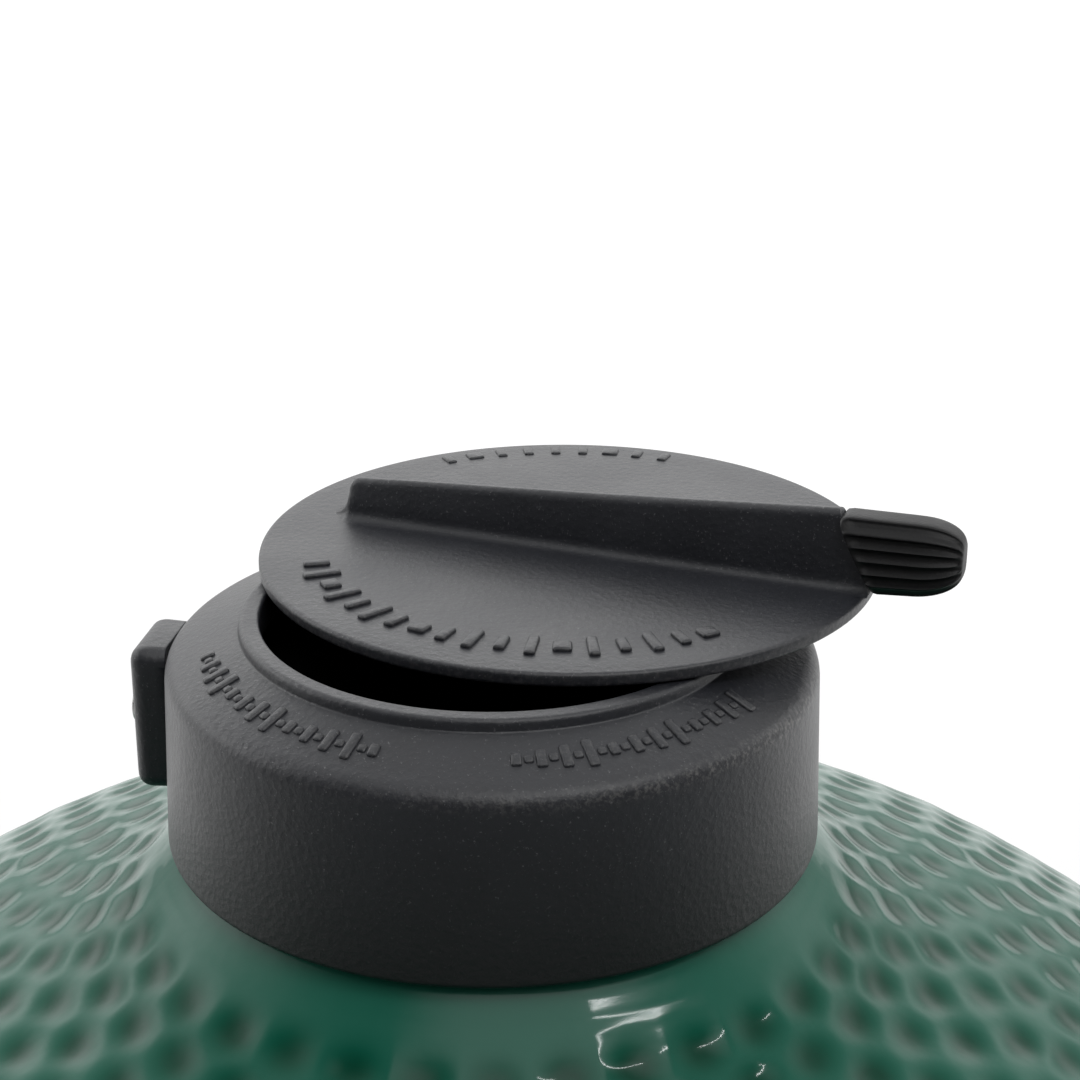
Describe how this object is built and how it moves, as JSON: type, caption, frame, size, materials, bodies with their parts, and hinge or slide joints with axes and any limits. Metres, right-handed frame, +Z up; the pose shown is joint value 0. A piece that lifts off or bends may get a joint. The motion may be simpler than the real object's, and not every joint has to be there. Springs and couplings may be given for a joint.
{
  "type": "ceramic kamado cooker",
  "caption": "Free-standing ceramic kamado charcoal cooker: hinged glazed dome, swinging cast vent lid, thermometer, draft door, firebox and grids.",
  "frame": {"origin": "on the floor under the middle of the cooker", "axes": "+Z up along the cooker's axis; the front, with handle, thermometer and draft door, faces -Y, and the lid's hinge is at +Y"},
  "size_m": [0.58, 0.688, 0.7392],
  "materials": {
    "glazed_ceramic": "glossy green glaze over stoneware",
    "raw_ceramic": "matt unglazed refractory ceramic",
    "cast_iron": "black powder coat with a fine cast texture",
    "black_silicone": "matt black",
    "felt": "dense felt",
    "band_steel": "black powder coat",
    "bright_steel": "brushed",
    "handle_wood": "oiled",
    "dial_face": "printed",
    "needle_red": "painted",
    "clear_glass": "clear"
  },
  "bodies": {
    "base": {"base_shell": "glazed_ceramic", "firebox": "raw_ceramic", "fire_ring": "raw_ceramic", "foot_1": "raw_ceramic", "foot_2": "raw_ceramic", "foot_3": "raw_ceramic", "fire_grate": "cast_iron", "lower_gasket": "felt", "lower_band": "band_steel", "hinge_base_bracket": "band_steel", "cooking_grid": "bright_steel", "lower_band_bolt": "bright_steel", "lower_band_nut": "bright_steel", "hinge_pin": "bright_steel", "hinge_spring_left": "bright_steel", "hinge_spring_right": "bright_steel", "draft_frame": "bright_steel"},
    "lid": {"dome_shell": "glazed_ceramic", "upper_gasket": "felt", "upper_band": "band_steel", "upper_band_bolt": "bright_steel", "upper_band_nut": "bright_steel", "hinge_dome_bracket": "band_steel", "handle_bracket_left": "band_steel", "handle_bracket_right": "band_steel", "handle_grip": "handle_wood", "handle_bolt_left": "bright_steel", "handle_bolt_right": "bright_steel", "thermometer_case": "bright_steel", "thermometer_bezel": "bright_steel", "thermometer_dial": "dial_face", "thermometer_lens": "clear_glass", "thermometer_nut": "bright_steel", "thermometer_probe": "bright_steel", "vent_ring": "cast_iron", "vent_gasket": "black_silicone", "clamp_block": "cast_iron", "clamp_screw": "bright_steel"},
    "vent_lid": {"vent_disc": "cast_iron", "vent_grip": "black_silicone", "vent_washer": "bright_steel", "vent_nut": "bright_steel"},
    "draft_door": {"draft_door": "bright_steel", "draft_door_knob": "black_silicone"},
    "ember_screen": {"ember_screen": "bright_steel", "ember_screen_knob": "black_silicone"},
    "needle": {"thermometer_needle": "needle_red"}
  },
  "joints": [
    {"name": "dome_hinge", "type": "hinge", "parent": "base", "child": "lid", "pos_m": [0, 0.33, 0.43], "axis": [-1, 0, 0], "range_deg": [0, 70]},
    {"name": "vent_swing", "type": "hinge", "parent": "lid", "child": "vent_lid", "pos_m": [-0.02892, 0.03768, 0.72], "axis": [0, 0, 1], "range_deg": [-43.5, 50]},
    {"name": "draft_door_slide", "type": "hinge", "parent": "base", "child": "draft_door", "pos_m": [0, 0, 0.1025], "axis": [0, 0, 1], "range_deg": [0, 21]},
    {"name": "ember_screen_slide", "type": "hinge", "parent": "base", "child": "ember_screen", "pos_m": [0, 0, 0.1025], "axis": [0, 0, -1], "range_deg": [0, 18.5]},
    {"name": "needle_turn", "type": "hinge", "parent": "lid", "child": "needle", "pos_m": [0, -0.22541, 0.555], "axis": [0, 0.7746, -0.6325], "range_deg": [0, 270], "stiffness_Nm_per_rad": 0.0005}
  ]
}
